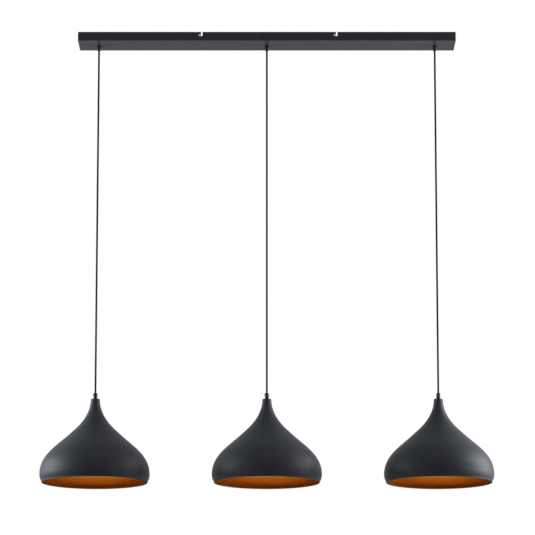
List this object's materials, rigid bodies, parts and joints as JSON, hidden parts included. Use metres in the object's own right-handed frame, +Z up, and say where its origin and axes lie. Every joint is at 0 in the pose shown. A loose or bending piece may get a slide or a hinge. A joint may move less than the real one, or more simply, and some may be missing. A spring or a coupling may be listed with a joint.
{
  "type": "linear pendant light",
  "caption": "Long ceiling canopy with onion-shaped metal shades hung on height-adjustable cords, each shade with a screw-in bulb.",
  "frame": {"origin": "centre of the ceiling plane that the canopy and its bracket meet", "axes": "+Z up, towards the ceiling; +X along the canopy; front is -Y, the side that the picture shows"},
  "size_m": [1.32, 0.32, 1.3365],
  "materials": {
    "canopy_paint": "satin",
    "shade_paint": "matt",
    "bracket_steel": "zinc plated",
    "hardware_steel": "zinc plated",
    "black_nylon": "matt",
    "black_cord": "matt",
    "black_screw": "satin",
    "holder_black": "satin",
    "white_plastic": "matt",
    "contact_brass": "bright",
    "earth_green": "matt",
    "core_blue": "matt",
    "bulb_opal": "opal",
    "bulb_metal": "bright"
  },
  "bodies": {
    "canopy": {"canopy_cover": "canopy_paint", "ceiling_bracket": "bracket_steel", "terminal_block": "white_plastic", "terminal_screws": "hardware_steel", "earth_lead": "earth_green", "earth_stud": "hardware_steel", "canopy_grip_left": "black_nylon", "canopy_grip_middle": "black_nylon", "canopy_grip_right": "black_nylon", "canopy_grip_nuts": "hardware_steel", "canopy_grip_screws": "black_screw", "canopy_leads": "black_cord"},
    "hang_left": {"cord_bend_left": "black_cord"},
    "cord_left": {"cord_left": "black_cord"},
    "end_left": {"cord_end_left": "black_cord"},
    "shade_left": {"shade_grip_left": "black_nylon", "shade_grip_screw_left": "black_screw", "nipple_left": "hardware_steel", "shade_nut_left": "hardware_steel", "shade_left": "shade_paint", "holder_cap_left": "holder_black", "holder_shell_left": "holder_black", "holder_insert_left": "white_plastic", "holder_contacts_left": "contact_brass", "core_wires_left": "core_blue"},
    "bulb_contact_left": {"bulb_contact_left": "bulb_metal"},
    "bulb_left": {"bulb_glass_left": "bulb_opal", "bulb_cap_left": "bulb_metal"},
    "hang_middle": {"cord_bend_middle": "black_cord"},
    "cord_middle": {"cord_middle": "black_cord"},
    "end_middle": {"cord_end_middle": "black_cord"},
    "shade_middle": {"shade_grip_middle": "black_nylon", "shade_grip_screw_middle": "black_screw", "nipple_middle": "hardware_steel", "shade_nut_middle": "hardware_steel", "shade_middle": "shade_paint", "holder_cap_middle": "holder_black", "holder_shell_middle": "holder_black", "holder_insert_middle": "white_plastic", "holder_contacts_middle": "contact_brass", "core_wires_middle": "core_blue"},
    "bulb_contact_middle": {"bulb_contact_middle": "bulb_metal"},
    "bulb_middle": {"bulb_glass_middle": "bulb_opal", "bulb_cap_middle": "bulb_metal"},
    "hang_right": {"cord_bend_right": "black_cord"},
    "cord_right": {"cord_right": "black_cord"},
    "end_right": {"cord_end_right": "black_cord"},
    "shade_right": {"shade_grip_right": "black_nylon", "shade_grip_screw_right": "black_screw", "nipple_right": "hardware_steel", "shade_nut_right": "hardware_steel", "shade_right": "shade_paint", "holder_cap_right": "holder_black", "holder_shell_right": "holder_black", "holder_insert_right": "white_plastic", "holder_contacts_right": "contact_brass", "core_wires_right": "core_blue"},
    "bulb_contact_right": {"bulb_contact_right": "bulb_metal"},
    "bulb_right": {"bulb_glass_right": "bulb_opal", "bulb_cap_right": "bulb_metal"}
  },
  "joints": [
    {"name": "swing_fore_left", "type": "hinge", "parent": "canopy", "child": "hang_left", "pos_m": [-0.5, 0, -0.0469], "axis": [1, 0, 0], "range_deg": [-30, 30]},
    {"name": "swing_side_left", "type": "hinge", "parent": "hang_left", "child": "cord_left", "pos_m": [-0.5, 0, -0.0469], "axis": [0, 1, 0], "range_deg": [-4, 4]},
    {"name": "height_left", "type": "slide", "parent": "cord_left", "child": "end_left", "axis": [0, 0, 1], "range_m": [0, 0.6], "deforming": ["cord_left"]},
    {"name": "twist_left", "type": "hinge", "parent": "end_left", "child": "shade_left", "pos_m": [-0.5, 0, -1.0915], "axis": [0, 0, 1], "range_deg": [-180, 180]},
    {"name": "bulb_out_left", "type": "slide", "parent": "shade_left", "child": "bulb_contact_left", "axis": [0, 0, -1], "range_m": [0, 0.0146]},
    {"name": "bulb_turn_left", "type": "hinge", "parent": "bulb_contact_left", "child": "bulb_left", "pos_m": [-0.5, 0, -1.1715], "axis": [0, 0, -1], "range_deg": [0, 1440]},
    {"name": "swing_fore_middle", "type": "hinge", "parent": "canopy", "child": "hang_middle", "pos_m": [0, 0, -0.0469], "axis": [1, 0, 0], "range_deg": [-30, 30]},
    {"name": "swing_side_middle", "type": "hinge", "parent": "hang_middle", "child": "cord_middle", "pos_m": [0, 0, -0.0469], "axis": [0, 1, 0], "range_deg": [-4, 4]},
    {"name": "height_middle", "type": "slide", "parent": "cord_middle", "child": "end_middle", "axis": [0, 0, 1], "range_m": [0, 0.6], "deforming": ["cord_middle"]},
    {"name": "twist_middle", "type": "hinge", "parent": "end_middle", "child": "shade_middle", "pos_m": [0, 0, -1.0915], "axis": [0, 0, 1], "range_deg": [-180, 180]},
    {"name": "bulb_out_middle", "type": "slide", "parent": "shade_middle", "child": "bulb_contact_middle", "axis": [0, 0, -1], "range_m": [0, 0.0146]},
    {"name": "bulb_turn_middle", "type": "hinge", "parent": "bulb_contact_middle", "child": "bulb_middle", "pos_m": [0, 0, -1.1715], "axis": [0, 0, -1], "range_deg": [0, 1440]},
    {"name": "swing_fore_right", "type": "hinge", "parent": "canopy", "child": "hang_right", "pos_m": [0.5, 0, -0.0469], "axis": [1, 0, 0], "range_deg": [-30, 30]},
    {"name": "swing_side_right", "type": "hinge", "parent": "hang_right", "child": "cord_right", "pos_m": [0.5, 0, -0.0469], "axis": [0, 1, 0], "range_deg": [-4, 4]},
    {"name": "height_right", "type": "slide", "parent": "cord_right", "child": "end_right", "axis": [0, 0, 1], "range_m": [0, 0.6], "deforming": ["cord_right"]},
    {"name": "twist_right", "type": "hinge", "parent": "end_right", "child": "shade_right", "pos_m": [0.5, 0, -1.0915], "axis": [0, 0, 1], "range_deg": [-180, 180]},
    {"name": "bulb_out_right", "type": "slide", "parent": "shade_right", "child": "bulb_contact_right", "axis": [0, 0, -1], "range_m": [0, 0.0146]},
    {"name": "bulb_turn_right", "type": "hinge", "parent": "bulb_contact_right", "child": "bulb_right", "pos_m": [0.5, 0, -1.1715], "axis": [0, 0, -1], "range_deg": [0, 1440]}
  ],
  "couplings": [
    {"joint": "bulb_out_left", "follows": "bulb_turn_left", "m_per_rad": 0.00057757},
    {"joint": "bulb_out_middle", "follows": "bulb_turn_middle", "m_per_rad": 0.00057757},
    {"joint": "bulb_out_right", "follows": "bulb_turn_right", "m_per_rad": 0.00057757}
  ]
}
